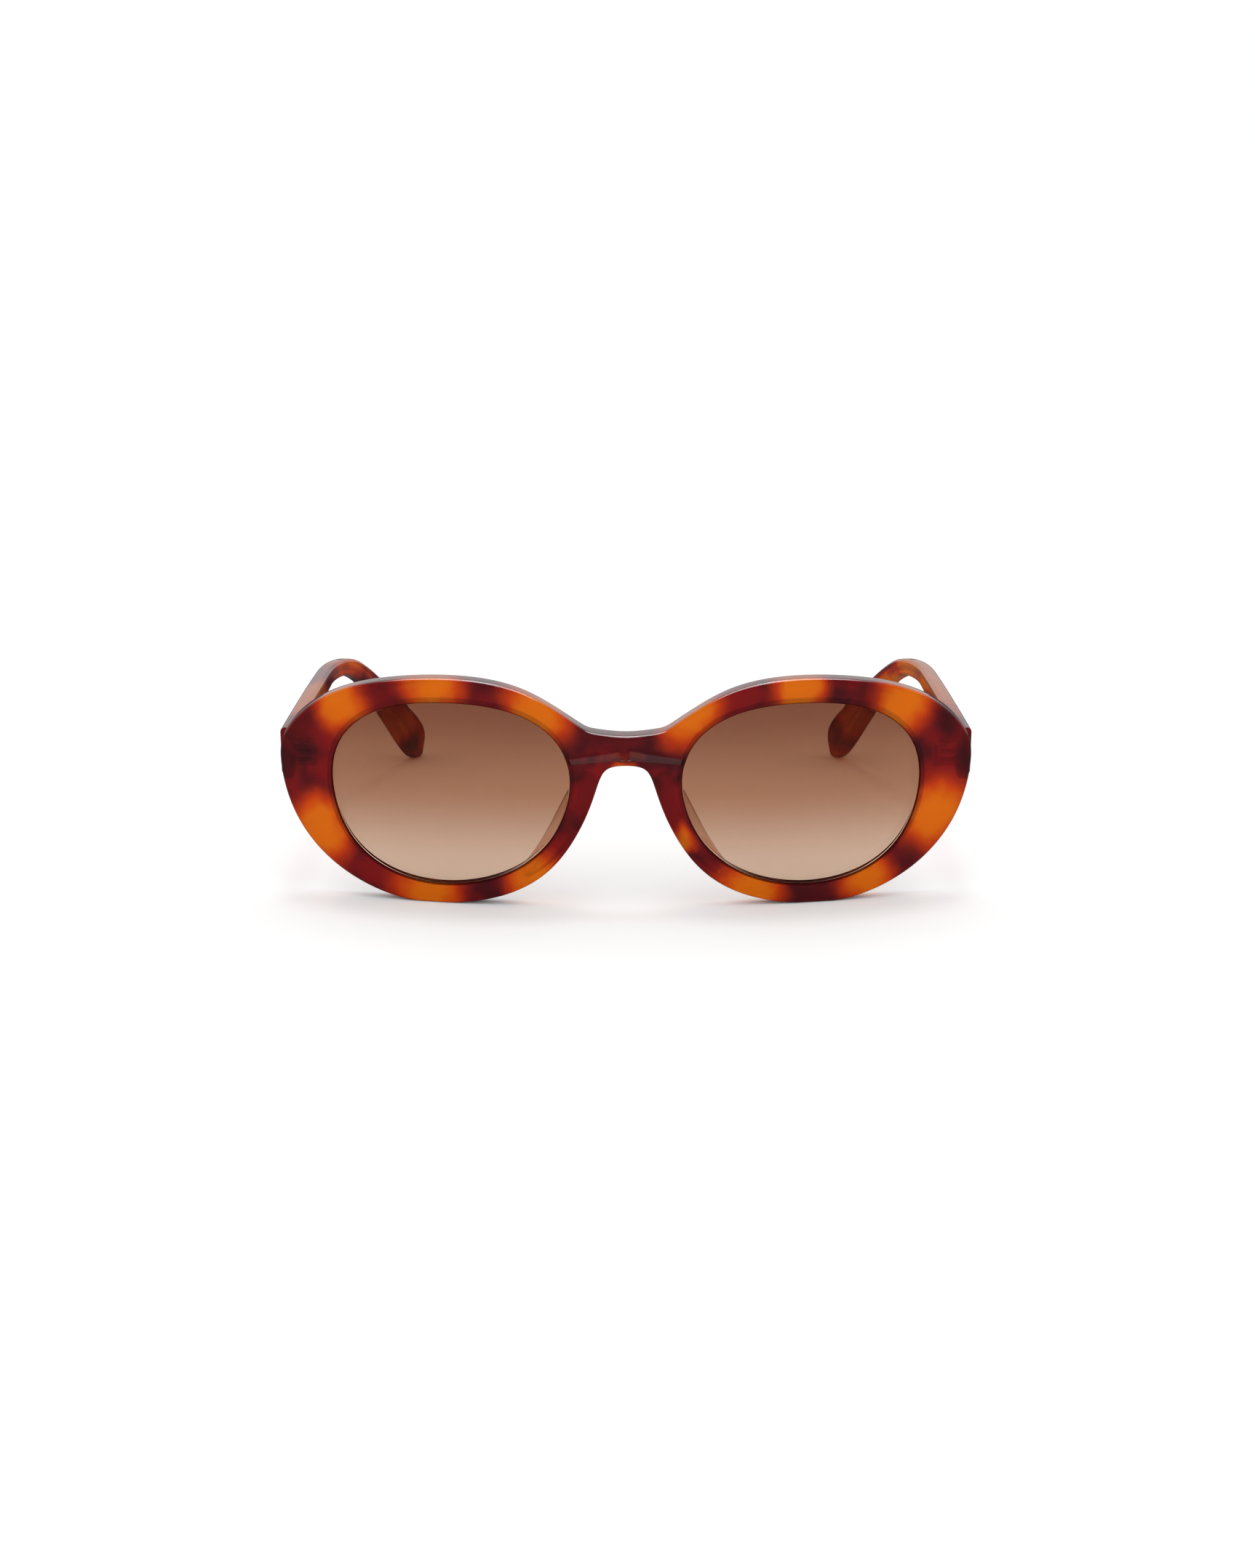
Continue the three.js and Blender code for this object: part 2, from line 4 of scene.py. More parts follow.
import bmesh
import bpy
import numpy as np
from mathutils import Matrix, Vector


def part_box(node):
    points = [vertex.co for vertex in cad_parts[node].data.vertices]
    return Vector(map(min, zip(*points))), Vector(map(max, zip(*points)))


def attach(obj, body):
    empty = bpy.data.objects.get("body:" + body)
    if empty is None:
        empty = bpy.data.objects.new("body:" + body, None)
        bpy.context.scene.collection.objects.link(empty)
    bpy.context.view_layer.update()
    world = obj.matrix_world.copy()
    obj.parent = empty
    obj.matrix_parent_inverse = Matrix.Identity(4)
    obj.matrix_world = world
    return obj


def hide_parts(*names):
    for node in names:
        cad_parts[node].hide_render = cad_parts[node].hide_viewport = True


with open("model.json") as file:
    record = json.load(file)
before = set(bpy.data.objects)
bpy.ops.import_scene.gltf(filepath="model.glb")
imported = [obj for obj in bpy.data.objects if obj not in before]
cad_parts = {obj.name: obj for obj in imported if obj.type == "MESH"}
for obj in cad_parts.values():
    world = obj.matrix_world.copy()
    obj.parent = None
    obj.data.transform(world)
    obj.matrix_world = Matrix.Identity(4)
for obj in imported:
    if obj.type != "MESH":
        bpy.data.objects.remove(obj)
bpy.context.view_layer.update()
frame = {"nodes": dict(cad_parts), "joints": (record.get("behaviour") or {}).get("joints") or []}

MM = 0.001
SIDES = (("left", 1), ("right", -1))      # the wearer's left is +X

# ---- Driving dimensions, in millimetres and in the design's own frame ----

OUTLINE = [
    (0, 37.2), (3, 37.4), (6.5, 37.9), (8, 38.3), (9.5, 39.2), (13, 41.7), (22, 47.4), (35.5, 49.2),
    (52, 47.7), (63.3, 43.9), (71.6, 36.3), (72.7, 29.5), (70.3, 17.5), (62, 6.9), (48.6, 0.3), (36, 0),
    (24, 2.2), (14.3, 8.4), (8.2, 19), (6, 26), (4.6, 30.3), (1.5, 30.9), (0, 30.9),
]
OUTLINE_STEPS = 14
OUTLINE_SLACK = 0.01      # keeps the finer curve inside the coarser CAD outline
REST_HEIGHT = 0.45        # where the rims' lowest stretch is cut flat
RIM_THICKNESS = 4.8
BRIDGE_EXTRA = 0.8        # how much thicker the front is at the bridge
BRIDGE_REACH = 10
FACE_ROUND = (0.85, 0.75)     # the outer edge's round in front: how wide and how deep
FACE_EASE = 0.05              # how far that round starts behind the face
FACE_BLEND = ((-1.3, 0), (-1.05, 0.02))   # the flat face runs into it at these offsets and depths
BACK_ROUND = 0.4              # the outer edge's round at the back
BACK_FLAT = 0.3               # the flat strip between it and the rest of the back
OPENING_ROUND = (0.75, 0.62)  # the opening's edge in front: how wide and how deep
OPENING_FLAT = 0.2            # the flat strip between it and the rest of the face
OPENING_BACK_ROUND = 0.5
OPENING_BACK_FLAT = 0.3
GROOVE_LIP = 0.05             # the break at the groove's lips
FACE_ROWS = 6                 # rows of points between the opening and the outline
WALL_SHARES = (0.33, 0.67)    # the rows of points along the outer wall
WRAP_RADIUS = 200
LEAN = math.tan(math.radians(3))
LEAN_HEIGHT = 30.5

LENS_MIDDLE = np.array([36.5, 24.6])
LENS_HALF = np.array([25.1, 19.8])
LENS_LEAN = -0.011        # these four bend the opening away from a plain ellipse
LENS_DROP = 0.03
LENS_REACH = -0.008
LENS_SQUARE = -0.018
SKEW_AT_ARCH = math.radians(6)    # how far the rim's sections turn where they meet the nose arch
SKEW_REACH = 3                    # and over how many outline points
GROOVE_MIDDLE = 2.2
GROOVE_DEPTH = 1
GROOVE_BAND = 1.055       # the groove and the opening's wall lie within this many times the opening's size
GROOVE_TURN = 0.8         # and turn less than this towards the front or back
LENS_THICKNESS = 1.8
LENS_GAP = 0.08
LENS_BREAK = 0.04         # the break between the lens's faces and its bevel
LENS_BULGE = 0.8
LENS_STEPS = 192
LENS_SCALES = [0.04, 0.15, 0.3, 0.45, 0.6, 0.72, 0.82, 0.9, 0.96, 0.99]
BEVEL_TURN = 0.85         # the lens's faces turn less than this towards the front on its ground bevel

HINGE_X = 66.6
HINGE_HEIGHT = 30.5
HINGE_STANDOFF = 1.75
STACK_HEIGHT = 4.5
FRONT_LEAF_ROUND = 0.1
TEMPLE_LEAF_ROUND = 0.08
SCREW_ROUND = 0.03        # the break round the driver slot
LEAF_PROUD = 0.05         # how far a sunk leaf stands clear of the temple
FLUSH_SLACK = 0.02        # points this near the temple's inner face count as lying in it
SCREW_PROFILE = [         # radius and height, above the stack's bottom for the foot and its top for the head
    ("foot", 0.5, 0), ("foot", 0.62, 0.12), ("foot", 0.65, 0.2), ("head", 0.65, 0.1), ("head", 1.12, 0.1),
    ("head", 1.2, 0.18), ("head", 1.2, 0.42), ("head", 1.14, 0.55), ("head", 0.95, 0.66), ("head", 0.6, 0.69),
]
SCREW_STEPS = 48
SLOT_SIZE = (3, 0.34, 0.6)
SLOT_HEIGHT = 0.72        # its middle above the stack
SLOT_TURN = 35            # degrees

TEMPLE_OUTER = 72.7
TEMPLE_THICKNESS = 3.6
TEMPLE_CORNER = 1.1
CORNER_LIMIT = 2.05       # a corner's radius stays under the height or thickness divided by this
CORNER_STEPS = 6
TIP_THINNING = (2.5, 0.3)     # the tip thins over this many stretches, to this share of the thickness
BUTT_GAP = 0.12
BUTT_EASE = ((0, 0.18), (0.05, 0.05), (0.18, 0))    # the butt's broken edge, as depth and inset
BEND_START = 80
BEND_BLEND = 24
BEND_SLOPE = 0.36
TEMPLE_EDGES = [
    ((17, 35.2), (17, 24.6)), ((26, 35.3), (26, 26.2)), ((40, 35.4), (40, 28.2)), ((60, 35.4), (60, 29.9)),
    ((80, 35.1), (79, 30.8)), ((93, 34.7), (91, 30.7)), ((101.5, 33.4), (98.5, 29.9)),
    ((107.5, 30.7), (104.6, 27.5)), ((113.5, 27), (110.3, 23.4)), ((121, 21.9), (116.4, 18.1)),
    ((129, 16.4), (122.8, 12)), ((135, 12.1), (128.8, 6)), ((138.4, 8.8), (134, 1.6)),
    ((139.6, 6.2), (137, 0.5)), ((139.8, 4), (138.6, 1.5)),
]
TEMPLE_STEPS = 8
BUTT_CLEAR = 3            # the first station that is clear of the slanting butt

PAD_SPAN = (16.4, 19.5)   # in outline points
PAD_DEPTH = 8
PAD_FLARE = 2.6
PAD_ROOT = (0.3, 3.4)
PAD_SINK = 0.25           # how far the root goes into the rim
PAD_TIP_WIDTH = 2
PAD_ROWS = 15
PAD_LEAST = 0.18          # the section's share of its full size at the ends


def face_y(x, z):
    return x * x / (2 * WRAP_RADIUS) - (z - LEAN_HEIGHT) * LEAN


def thickness(x):
    return RIM_THICKNESS + BRIDGE_EXTRA * np.exp(-((x / BRIDGE_REACH) ** 2))


def back_y(x, z):
    return face_y(x, z) + thickness(x)


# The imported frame's origin in the design's frame, from the hinge axis that the record states.
HINGE_Y = back_y(HINGE_X, HINGE_HEIGHT) + HINGE_STANDOFF
hinge_at = next(j for j in frame["joints"] if j["name"] == "left_fold")["pos_m"]
SHIFT = np.array([0, hinge_at[1] / MM - HINGE_Y, hinge_at[2] / MM - HINGE_HEIGHT])


# ---- Curves ----

STEP = 0.01               # half the step over which a curve's direction is measured

def spline(points, at):
    """A uniform cubic B-spline that starts and ends on the mirror plane."""
    points = np.array(points, float)
    ghost = points[[1, -2]] * [-1, 1]
    padded = np.vstack([ghost[:1], points, ghost[1:]])
    at = np.atleast_1d(np.asarray(at, float))
    i = np.minimum(np.floor(at).astype(int), len(points) - 2)
    t = (at - i)[:, None]
    return ((1 - t) ** 3 * padded[i] + (3 * t ** 3 - 6 * t ** 2 + 4) * padded[i + 1]
            + (-3 * t ** 3 + 3 * t ** 2 + 3 * t + 1) * padded[i + 2] + t ** 3 * padded[i + 3]) / 6


def unit(v):
    return v / np.linalg.norm(v, axis=-1, keepdims=True)


def outline(at, offset=0.0):
    """Points on the front's outline, moved outwards by offset."""
    at = np.asarray(at, float)
    end = len(OUTLINE) - 1
    middle = spline(OUTLINE, at)
    inside = np.clip(at, STEP, end - STEP)
    along = unit(spline(OUTLINE, inside + STEP) - spline(OUTLINE, inside - STEP))
    normal = np.stack([-along[:, 1], along[:, 0]], -1)
    normal[at == 0] = (0, 1)
    normal[at == end] = (0, -1)
    out = middle + normal * (np.asarray(offset) - OUTLINE_SLACK)
    out[:, 1] = np.maximum(out[:, 1], REST_HEIGHT - np.asarray(offset))
    return out


def oval(angle):
    radius = (1 + LENS_LEAN * np.sin(2 * angle) + LENS_DROP * np.sin(3 * angle)
              + LENS_REACH * np.cos(3 * angle) + LENS_SQUARE * np.cos(4 * angle))
    return LENS_MIDDLE + LENS_HALF * np.stack([radius * np.cos(angle), radius * np.sin(angle)], -1)


def opening(angle, offset=0.0):
    """Points on the lens opening's edge, moved into the rim by offset."""
    along = unit(oval(angle + STEP) - oval(angle - STEP))
    normal = np.stack([along[:, 1], -along[:, 0]], -1)
    return oval(angle) + normal * offset


def facing_angle(at):
    """The angle on the opening that each outline point's section runs to."""
    p = (outline(at) - LENS_MIDDLE) / LENS_HALF
    angle = np.arctan2(p[:, 1], p[:, 0])
    end = len(OUTLINE) - 1
    angle = np.where((at > end / 2) & (angle > 0), angle - 2 * np.pi, angle)
    t = np.clip((at - end + SKEW_REACH) / SKEW_REACH, 0, 1)
    return angle - SKEW_AT_ARCH * t * t * (3 - 2 * t)


def on_front(p, depth):
    return np.stack([p[:, 0], face_y(p[:, 0], p[:, 1]) + depth, p[:, 1]], -1)


# ---- Meshes ----

def mesh_object(name, vertices, faces, side=1):
    """A mesh from millimetres in the design's frame. side -1 mirrors it to the wearer's right."""
    points = (np.asarray(vertices, float) * [side, 1, 1] + SHIFT) * MM
    mesh = bpy.data.meshes.new(name)
    mesh.from_pydata(points.tolist(), [], [tuple(f) for f in faces])
    obj = bpy.data.objects.new(name, mesh)
    bpy.context.scene.collection.objects.link(obj)
    tidy(obj)
    return obj


def tidy(obj):
    """Welds a mesh, turns its faces outwards and shades it smooth."""
    bm = bmesh.new()
    bm.from_mesh(obj.data)
    bmesh.ops.remove_doubles(bm, verts=bm.verts, dist=1e-6)
    bmesh.ops.recalc_face_normals(bm, faces=bm.faces)
    bm.to_mesh(obj.data)
    bm.free()
    obj.data.polygons.foreach_set("use_smooth", [True] * len(obj.data.polygons))


def apply(obj, kind, **settings):
    modifier = obj.modifiers.new(kind.lower(), kind)
    for key, value in settings.items():
        setattr(modifier, key, value)
    bpy.context.view_layer.objects.active = obj
    bpy.ops.object.modifier_apply(modifier=modifier.name)


def even_normals(obj):
    apply(obj, "WEIGHTED_NORMAL", keep_sharp=True, weight=60)


def quarter(steps):
    """The angles of a quarter turn, for a rounded edge."""
    return np.linspace(0, np.pi / 2, steps + 1)


def skin(rings):
    """Vertices and quads between neighbouring rings, closed by a fan at each end."""
    rings = np.asarray(rings, float)
    rows, count = rings.shape[:2]
    vertices = rings.reshape(-1, 3).tolist()
    pairs = [(i, (i + 1) % count) for i in range(count)]
    faces = [(r + i, r + j, r + count + j, r + count + i)
             for r in range(0, (rows - 1) * count, count) for i, j in pairs]
    for r in (0, rows - 1):
        vertices.append(rings[r].mean(0).tolist())
        centre = len(vertices) - 1
        faces += [(centre, r * count + i, r * count + j) for i, j in pairs]
    return vertices, faces


# ---- Front ----

def front_rings():
    """Rings of the rim's section, from the lens groove over the face and the outer wall to the back.

    wall says which of them lie on the outer wall, where the two halves of the front don't join.
    """
    end = len(OUTLINE) - 1
    at = np.linspace(0, end, end * OUTLINE_STEPS + 1)
    angle = facing_angle(at)
    back = thickness(outline(at)[:, 0])
    rings, wall = [], []
    shares = np.linspace(0, 1, FACE_ROWS + 2)[1:-1]

    def inner(offset, depth):
        rings.append(on_front(opening(angle, offset), depth))
        wall.append(False)

    def outer(offset, depth):
        rings.append(on_front(outline(at, offset), depth))
        wall.append(True)

    def across(near, far, depth, shares):
        for share in shares:
            p = opening(angle, near) * (1 - share) + outline(at, far) * share
            rings.append(on_front(p, depth))
            wall.append(False)

    front_lip, back_lip = GROOVE_MIDDLE - GROOVE_DEPTH, GROOVE_MIDDLE + GROOVE_DEPTH
    inner(GROOVE_DEPTH, GROOVE_MIDDLE)
    inner(GROOVE_LIP, front_lip + GROOVE_LIP)
    inner(0, front_lip - GROOVE_LIP)
    width, depth = OPENING_ROUND
    for t in quarter(6):
        inner(width * (1 - math.cos(t)), depth * (1 - math.sin(t)))
    inner(width + OPENING_FLAT, 0)
    across(width + OPENING_FLAT, FACE_BLEND[0][0], 0, shares)
    for offset, depth in FACE_BLEND:
        outer(offset, depth)
    width, depth = FACE_ROUND
    for t in quarter(8):
        outer(-width * (1 - math.sin(t)), FACE_EASE + depth * (1 - math.cos(t)))
    start = FACE_EASE + depth
    for share in WALL_SHARES:
        outer(0, start + (back - start - BACK_ROUND) * share)
    for t in quarter(5):
        outer(-BACK_ROUND * (1 - math.cos(t)), back - BACK_ROUND * (1 - math.sin(t)))
    far = -BACK_ROUND - BACK_FLAT
    near = OPENING_BACK_ROUND + OPENING_BACK_FLAT
    outer(far, back)
    across(near, far, back, shares[::-1])
    inner(near, back)
    for t in quarter(4):
        inner(OPENING_BACK_ROUND * (1 - math.sin(t)), back - OPENING_BACK_ROUND * (1 - math.cos(t)))
    inner(0, back_lip + GROOVE_LIP)
    inner(GROOVE_LIP, back_lip - GROOVE_LIP)
    return rings, wall


def build_front():
    """One half of the front as rings along its outline, and its mirror image welded to it."""
    rings, wall = front_rings()
    rows, count = len(rings), len(rings[0])
    vertices = np.concatenate(rings)
    faces = []
    for r in range(rows):
        s = (r + 1) % rows
        for i in range(count):
            j = (i + 1) % count
            if i == count - 1 and wall[r] and wall[s]:
                continue
            faces.append((r * count + i, r * count + j, s * count + j, s * count + i))
    total = len(vertices)
    both = np.vstack([vertices, vertices * [-1, 1, 1]])
    faces += [tuple(v + total for v in reversed(f)) for f in faces]
    front = mesh_object("front_acetate", both, faces)
    for face in front.data.polygons:
        face.material_index = int(in_groove(face))
    return front


def in_groove(face):
    """Whether a face belongs to the opening's wall or the lens groove in it."""
    x, _, z = np.array(face.center) / MM - SHIFT
    away = (np.array([abs(x), z]) - LENS_MIDDLE) / LENS_HALF
    edge = (oval(math.atan2(away[1], away[0])) - LENS_MIDDLE) / LENS_HALF
    return abs(face.normal.y) < GROOVE_TURN and np.linalg.norm(away) < GROOVE_BAND * np.linalg.norm(edge)


# ---- Lenses ----

def build_lens(name, side):
    angle = np.linspace(0, 2 * np.pi, LENS_STEPS + 1)[:-1]
    half = LENS_THICKNESS / 2
    edge = GROOVE_DEPTH - half - LENS_GAP

    def ring(scale, offset, depth):
        p = LENS_MIDDLE + (opening(angle, offset) - LENS_MIDDLE) * scale
        return on_front(p, depth - LENS_BULGE * (1 - scale * scale))

    front, back = GROOVE_MIDDLE - half, GROOVE_MIDDLE + half
    rings = [ring(scale, edge, front) for scale in LENS_SCALES]
    rings += [
        ring(1, edge - LENS_BREAK, front),
        ring(1, edge, front + LENS_BREAK),
        ring(1, GROOVE_DEPTH - LENS_GAP, GROOVE_MIDDLE),
        ring(1, edge, back - LENS_BREAK),
        ring(1, edge - LENS_BREAK, back),
    ]
    rings += [ring(scale, edge, back) for scale in reversed(LENS_SCALES)]
    lens = mesh_object(name, *skin(rings), side=side)
    for face in lens.data.polygons:
        face.material_index = int(abs(face.normal.y) < BEVEL_TURN)
    return lens


# ---- Nose pads ----

def pad_section(fullness):
    """The pad's section as distances into the rim from its outline and distances behind its back.

    It goes from the root up the nose side, over the rounded tip and back down the far side.
    """
    reach = PAD_DEPTH * fullness
    flare = PAD_FLARE * fullness
    inner, outer = PAD_ROOT
    slack = (1 - fullness) * (outer - inner) * 0.25
    root, far = inner + slack, outer - slack
    tip = PAD_TIP_WIDTH * fullness
    return [
        (root, -PAD_SINK), (root + 0.02, 0.1),
        (root + flare * 0.1, reach * 0.25), (root + flare * 0.3, reach * 0.55),
        (root + flare * 0.62, reach * 0.82), (root + flare * 0.95, reach * 0.96),
        (root + flare + tip * 0.5, reach), (root + flare + tip * 0.95, reach * 0.93),
        (far + flare * 0.78, reach * 0.65), (far + flare * 0.45, reach * 0.35),
        (far, 0.1), (far, -PAD_SINK),
    ]


def build_pad(name, side):
    start, end = PAD_SPAN
    rings = []
    for along in np.linspace(0, 1, PAD_ROWS):
        fullness = max(PAD_LEAST, math.sin(math.pi * (0.05 + 0.9 * along)) ** 0.7)
        ring = []
        for distance, behind in pad_section(fullness):
            p = outline([start + (end - start) * along], -distance)[0]
            ring.append((p[0], back_y(p[0], p[1]) + behind, p[1]))
        rings.append(ring)
    pad = mesh_object(name, *skin(rings), side=side)
    apply(pad, "SUBSURF", levels=2, render_levels=2)
    return pad


# ---- Temples ----

def turned_in(y):
    """How far the temple has bent towards the head at y."""
    past = np.maximum(np.asarray(y, float) - BEND_START, 0)
    early = BEND_SLOPE * past * past / (2 * BEND_BLEND)
    return np.where(past < BEND_BLEND, early, BEND_SLOPE * (past - BEND_BLEND / 2))


def through(points, steps):
    """A Catmull-Rom curve through the points, with this many steps for each stretch."""
    p = np.array(points, float)
    p = np.vstack([2 * p[0] - p[1], p, 2 * p[-1] - p[-2]])
    out = []
    for i in range(len(p) - 3):
        a, b, c, d = p[i:i + 4]
        for t in np.arange(steps) / steps:
            out.append(0.5 * (2 * b + (c - a) * t + (2 * a - 5 * b + 4 * c - d) * t * t
                              + (3 * b - a - 3 * c + d) * t ** 3))
    out.append(p[-2])
    return np.array(out)


def temple_ring(top, bottom, thick, butt=None, inset=0.0):
    """The temple's section between two points of its edges. A butt section lies that far behind the front."""
    height = np.linalg.norm(top - bottom)
    corner = min(TEMPLE_CORNER, thick / CORNER_LIMIT, height / CORNER_LIMIT)
    cut = [(corner * (1 - math.cos(t)), corner * (1 - math.sin(t))) for t in quarter(CORNER_STEPS)]
    around = [(thick - a, height - b) for a, b in cut]
    around += [(a, height - b) for a, b in reversed(cut)]
    around += [(a, b) for a, b in cut]
    around += [(thick - a, b) for a, b in reversed(cut)]
    ring = []
    for across, up in around:
        across = inset + across * (1 - 2 * inset / thick)
        up = inset + up * (1 - 2 * inset / height)
        y, z = bottom + (top - bottom) * up / height
        x = TEMPLE_OUTER - TEMPLE_THICKNESS / 2 + (thick / 2 - across) - float(turned_in(y))
        if butt is not None:
            y = back_y(x, z) + BUTT_GAP + butt
        ring.append((x, y, z))
    return ring


def build_temple(name, side):
    tops = through([pair[0] for pair in TEMPLE_EDGES], TEMPLE_STEPS)
    bottoms = through([pair[1] for pair in TEMPLE_EDGES], TEMPLE_STEPS)
    rows = len(tops)
    rings = [temple_ring(tops[0], bottoms[0], TEMPLE_THICKNESS, *ease) for ease in BUTT_EASE]
    span, least = TIP_THINNING
    for i in range(BUTT_CLEAR, rows):
        left = (rows - 1 - i) / (span * TEMPLE_STEPS)
        thin = 1 if left >= 1 else least + (1 - least) * math.sqrt(1 - (1 - left) ** 2)
        rings.append(temple_ring(tops[i], bottoms[i], TEMPLE_THICKNESS * thin))
    temple = mesh_object(name, *skin(rings), side=side)
    even_normals(temple)
    return temple


# ---- Hinges ----

def rounded_copy(node, name, width):
    """A CAD piece's shape with its edges broken, as tumbling leaves them."""
    obj = bpy.data.objects.new(name, frame["nodes"][node].data.copy())
    bpy.context.scene.collection.objects.link(obj)
    obj.data.materials.clear()
    tidy(obj)
    apply(obj, "DECIMATE", decimate_type="DISSOLVE", angle_limit=math.radians(2))
    apply(obj, "BEVEL", width=width * MM, segments=2, limit_method="ANGLE", angle_limit=math.radians(40))
    even_normals(obj)
    return obj


def stand_proud(obj):
    """Lifts a sunk leaf's flush face just clear of the temple's surface, so that the two don't flicker."""
    flush = (TEMPLE_OUTER - TEMPLE_THICKNESS) * MM
    for vertex in obj.data.vertices:
        if abs(abs(vertex.co.x) - flush) < FLUSH_SLACK * MM:
            vertex.co.x -= math.copysign(LEAF_PROUD * MM, vertex.co.x)
    return obj


def build_screw(name, side):
    """A turned pin with a domed head, and a driver slot cut across it."""
    base = {"foot": HINGE_HEIGHT - STACK_HEIGHT / 2, "head": HINGE_HEIGHT + STACK_HEIGHT / 2}
    turns = np.linspace(0, 2 * np.pi, SCREW_STEPS + 1)[:-1]
    rings = [[(HINGE_X + r * math.cos(t), HINGE_Y + r * math.sin(t), base[end] + h) for t in turns]
             for end, r, h in SCREW_PROFILE]
    screw = mesh_object(name, *skin(rings), side=side)
    bpy.ops.mesh.primitive_cube_add(size=1)
    slot = bpy.context.object
    slot.scale = [length * MM for length in SLOT_SIZE]
    slot.rotation_euler = (0, 0, math.radians(SLOT_TURN * side))
    slot.location = (np.array([HINGE_X * side, HINGE_Y, base["head"] + SLOT_HEIGHT]) + SHIFT) * MM
    apply(screw, "BOOLEAN", operation="DIFFERENCE", object=slot, solver="EXACT")
    bpy.data.objects.remove(slot)
    apply(screw, "BEVEL", width=SCREW_ROUND * MM, segments=2, limit_method="ANGLE",
          angle_limit=math.radians(45))
    even_normals(screw)
    return screw


# ---- Materials ----

class Nodes:
    """Short names for building a node tree."""

    def __init__(self, name):
        self.material = bpy.data.materials.new(name)
        self.material.use_nodes = True
        self.tree = self.material.node_tree
        self.tree.nodes.clear()
        self.output = self.new("ShaderNodeOutputMaterial")
        self.position = self.new("ShaderNodeTexCoord").outputs["Object"]

    def new(self, kind, **settings):
        node = self.tree.nodes.new(kind)
        for key, value in settings.items():
            setattr(node, key, value)
        return node

    def link(self, a, b):
        self.tree.links.new(a, b)

    def set(self, socket, value):
        if hasattr(value, "is_output"):
            self.link(value, socket)
        else:
            socket.default_value = value

    def math(self, operation, a, b=0.0, clamp=False):
        node = self.new("ShaderNodeMath", operation=operation, use_clamp=clamp)
        self.set(node.inputs[0], a)
        self.set(node.inputs[1], b)
        return node.outputs[0]

    def vector(self, operation, a, b=(0, 0, 0)):
        node = self.new("ShaderNodeVectorMath", operation=operation)
        self.set(node.inputs[0], a)
        if operation == "SCALE":
            self.set(node.inputs["Scale"], b)
        else:
            self.set(node.inputs[1], b)
        return node.outputs["Value" if operation == "DOT_PRODUCT" else "Vector"]

    def noise(self, scale, detail=2.0, vector=None, output="Fac", roughness=0.5):
        node = self.new("ShaderNodeTexNoise")
        self.link(vector or self.position, node.inputs["Vector"])
        node.inputs["Scale"].default_value = scale
        node.inputs["Detail"].default_value = detail
        node.inputs["Roughness"].default_value = roughness
        return node.outputs[output]

    def part(self, vector, axis):
        node = self.new("ShaderNodeSeparateXYZ")
        self.link(vector, node.inputs[0])
        return node.outputs[axis]

    def ramp(self, value, low, high, to=(0.0, 1.0)):
        node = self.new("ShaderNodeMapRange", interpolation_type="SMOOTHSTEP")
        self.set(node.inputs["Value"], value)
        node.inputs["From Min"].default_value = low
        node.inputs["From Max"].default_value = high
        node.inputs["To Min"].default_value = to[0]
        node.inputs["To Max"].default_value = to[1]
        return node.outputs[0]

    def mix(self, share, a, b):
        node = self.new("ShaderNodeMix", data_type="RGBA")
        self.set(node.inputs["Factor"], share)
        for socket, value in ((node.inputs[6], a), (node.inputs[7], b)):
            self.set(socket, value if hasattr(value, "is_output") else (*value, 1))
        return node.outputs[2]

    def bump(self, height, distance, strength=1.0):
        node = self.new("ShaderNodeBump")
        self.link(height, node.inputs["Height"])
        node.inputs["Distance"].default_value = distance
        node.inputs["Strength"].default_value = strength
        return node.outputs["Normal"]

    def principled(self, **inputs):
        node = self.new("ShaderNodeBsdfPrincipled")
        for key, value in inputs.items():
            self.set(node.inputs[key.replace("_", " ")], value)
        return node.outputs[0]

    def surface(self, shader):
        self.link(shader, self.output.inputs["Surface"])


# Amber patches as (x, z, half length, half width, turn in degrees), in millimetres on the design's front. The
# last is a painted glow: light that shows through the top of the nose arch.
AMBER_AND_GLOW = [
    (-17.5, 42.5, 11, 8, -38), (-39.5, 46, 9, 9, 0), (-58.5, 42.5, 8, 8, 35), (-63.5, 15, 11, 9, 115),
    (-41.5, 3, 11, 7, -10), (-18.5, 7, 9, 8, 48), (13.5, 40.5, 11, 7, 42), (35, 46, 8, 9, 0),
    (57, 42.5, 9, 8, -38), (64.5, 18, 12, 10, 70), (50, 5, 8, 8, 20), (25.5, 4.5, 10, 7, -28),
    (12.5, 15.5, 4, 3, -60), (0, 31, 3, 2, 0),
]
# Near-black patches: painted shade where the temples' butts stand behind the front (the first two) and round
# the nose arch's corners (the last four), and smoke where it is thickest (the two beside the hinges).
SMOKE_AND_SHADE = [
    (-71.5, 30, 3.5, 7.5, 0), (71.5, 30, 3.5, 7.5, 0), (-66, 24, 5, 6, 0), (66.5, 37.5, 5, 5, 0),
    (-6.5, 32.5, 3.5, 2, 40), (6.5, 32.5, 3.5, 2, -40), (-10.5, 29, 3, 2.5, 0), (10.5, 29, 3, 2.5, 0),
]
PATCH_FADE = 1.1                  # a patch fades out at this many times its own size
WOBBLE = 0.006                    # metres by which noise moves the pattern's edges about
SPOT_STRETCH = (1, 0.55, 1)       # the free noise is drawn out along the temples
RED_BUTT = (-0.046, -0.030)       # the stretch, in Y, over which the temples' amber begins
AMBER_COLOR = (0.82, 0.185, 0.001)
ORANGE_COLOR = (0.66, 0.058, 0.001)
RED_COLOR = (0.25, 0.007, 0.009)
DARK_COLOR = (0.075, 0.006, 0.010)


